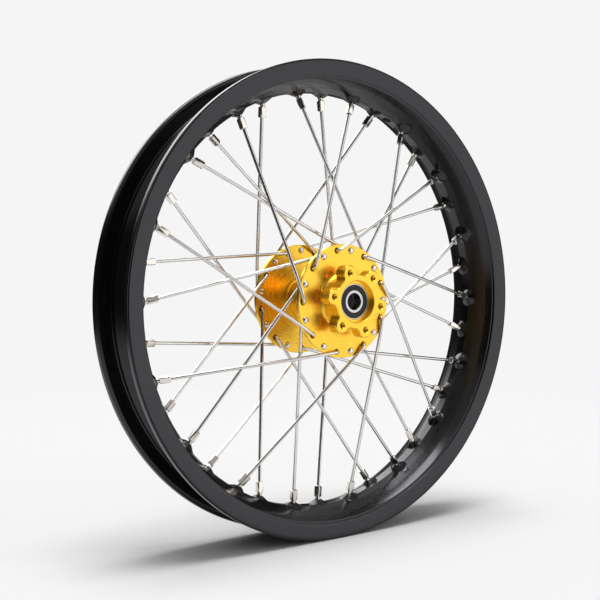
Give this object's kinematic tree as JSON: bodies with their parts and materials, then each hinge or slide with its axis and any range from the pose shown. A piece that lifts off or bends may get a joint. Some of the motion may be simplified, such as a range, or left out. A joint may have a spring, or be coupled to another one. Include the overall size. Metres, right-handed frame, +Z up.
{
  "type": "spoked wheel",
  "caption": "Motorcycle wheel with a black drop-centre rim, crossed wire spokes and a gold flanged hub with a lugged brake disc mount and sealed bearings.",
  "frame": {"origin": "centre of the wheel, on the axle line and on the rim's centre plane", "axes": "+Y along the axle, from the brake disc side towards the plain side; +Z up with the wheel standing on its rim; +X across the wheel"},
  "size_m": [0.4336, 0.108, 0.4336],
  "materials": {
    "black_anodised": "satin black anodised",
    "gold_anodised": "satin gold anodised, machined",
    "stainless": "polished drawn wire",
    "bearing_steel": "ground",
    "seal_rubber": "matte black",
    "bare_aluminium": "turned, bare"
  },
  "bodies": {
    "axle_core": {"disc_side_bearing_inner_ring": "bearing_steel", "plain_side_bearing_inner_ring": "bearing_steel", "bearing_spacer_tube": "bare_aluminium"},
    "wheel": {"rim": "black_anodised", "hub_shell": "gold_anodised", "hub_disc_mount": "gold_anodised", "hub_plain_end": "gold_anodised", "spoke_disc_side_outer_1": "stainless", "spoke_disc_side_outer_2": "stainless", "spoke_disc_side_outer_3": "stainless", "spoke_disc_side_outer_4": "stainless", "spoke_disc_side_outer_5": "stainless", "spoke_disc_side_outer_6": "stainless", "spoke_disc_side_outer_7": "stainless", "spoke_disc_side_outer_8": "stainless", "spoke_disc_side_outer_9": "stainless", "spoke_disc_side_inner_1": "stainless", "spoke_disc_side_inner_2": "stainless", "spoke_disc_side_inner_3": "stainless", "spoke_disc_side_inner_4": "stainless", "spoke_disc_side_inner_5": "stainless", "spoke_disc_side_inner_6": "stainless", "spoke_disc_side_inner_7": "stainless", "spoke_disc_side_inner_8": "stainless", "spoke_disc_side_inner_9": "stainless", "spoke_plain_side_inner_1": "stainless", "spoke_plain_side_inner_2": "stainless", "spoke_plain_side_inner_3": "stainless", "spoke_plain_side_inner_4": "stainless", "spoke_plain_side_inner_5": "stainless", "spoke_plain_side_inner_6": "stainless", "spoke_plain_side_inner_7": "stainless", "spoke_plain_side_inner_8": "stainless", "spoke_plain_side_inner_9": "stainless", "spoke_plain_side_outer_1": "stainless", "spoke_plain_side_outer_2": "stainless", "spoke_plain_side_outer_3": "stainless", "spoke_plain_side_outer_4": "stainless", "spoke_plain_side_outer_5": "stainless", "spoke_plain_side_outer_6": "stainless", "spoke_plain_side_outer_7": "stainless", "spoke_plain_side_outer_8": "stainless", "spoke_plain_side_outer_9": "stainless", "disc_side_bearing_outer_ring": "bearing_steel", "disc_side_bearing_outer_seal": "seal_rubber", "disc_side_bearing_inner_seal": "seal_rubber", "plain_side_bearing_outer_ring": "bearing_steel", "plain_side_bearing_outer_seal": "seal_rubber", "plain_side_bearing_inner_seal": "seal_rubber"},
    "disc_side_balls": {"disc_side_bearing_ball_set": "bearing_steel"},
    "plain_side_balls": {"plain_side_bearing_ball_set": "bearing_steel"}
  },
  "joints": [
    {"name": "wheel_spin", "type": "hinge", "parent": "axle_core", "child": "wheel", "pos_m": [0, 0, 0], "axis": [0, 1, 0], "continuous": true},
    {"name": "disc_side_ball_orbit", "type": "hinge", "parent": "axle_core", "child": "disc_side_balls", "pos_m": [0, -0.0445, 0], "axis": [0, 1, 0], "continuous": true},
    {"name": "plain_side_ball_orbit", "type": "hinge", "parent": "axle_core", "child": "plain_side_balls", "pos_m": [0, 0.0445, 0], "axis": [0, 1, 0], "continuous": true}
  ],
  "couplings": [
    {"joint": "disc_side_ball_orbit", "follows": "wheel_spin", "ratio": 0.601},
    {"joint": "plain_side_ball_orbit", "follows": "wheel_spin", "ratio": 0.601}
  ]
}
